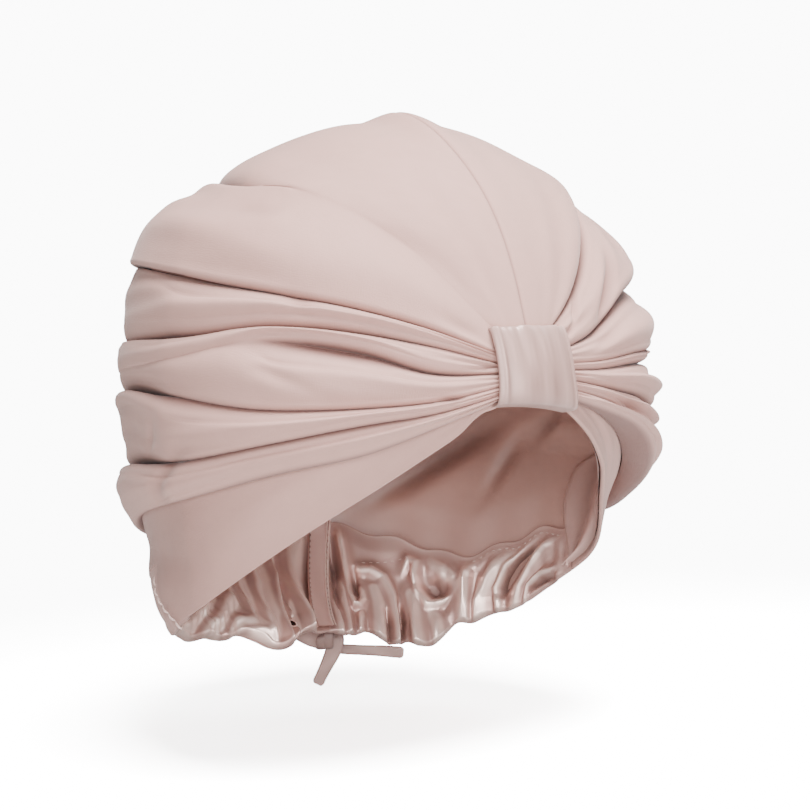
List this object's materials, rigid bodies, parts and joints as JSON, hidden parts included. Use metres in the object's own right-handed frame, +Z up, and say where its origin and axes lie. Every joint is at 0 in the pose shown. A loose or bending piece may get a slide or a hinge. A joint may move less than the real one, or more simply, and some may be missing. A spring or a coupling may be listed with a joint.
{
  "type": "sleep turban",
  "caption": "Silk sleep turban in its worn form: gathered folds held by a satin loop at the front, a smooth band, a lining, a gathered elastic casing round the nape and a tied drawstring.",
  "frame": {"origin": "where the top of the wearer's head bears against the lining", "axes": "+Z up, the wearer looks along -Y, +X to the wearer's left"},
  "size_m": [0.2486, 0.2523, 0.2696],
  "materials": {
    "silk": "matte blush silk",
    "satin": "soft blush satin",
    "lining": "rose satin, darker inside"
  },
  "bodies": {
    "root": {"crown_right": "silk", "crown_left": "silk", "band_right": "silk", "band_left": "silk", "lining": "lining", "back_casing": "satin", "front_loop": "satin", "seam_tape": "satin", "tie_right": "satin", "tie_left": "satin", "tie_knot": "satin"}
  },
  "joints": []
}
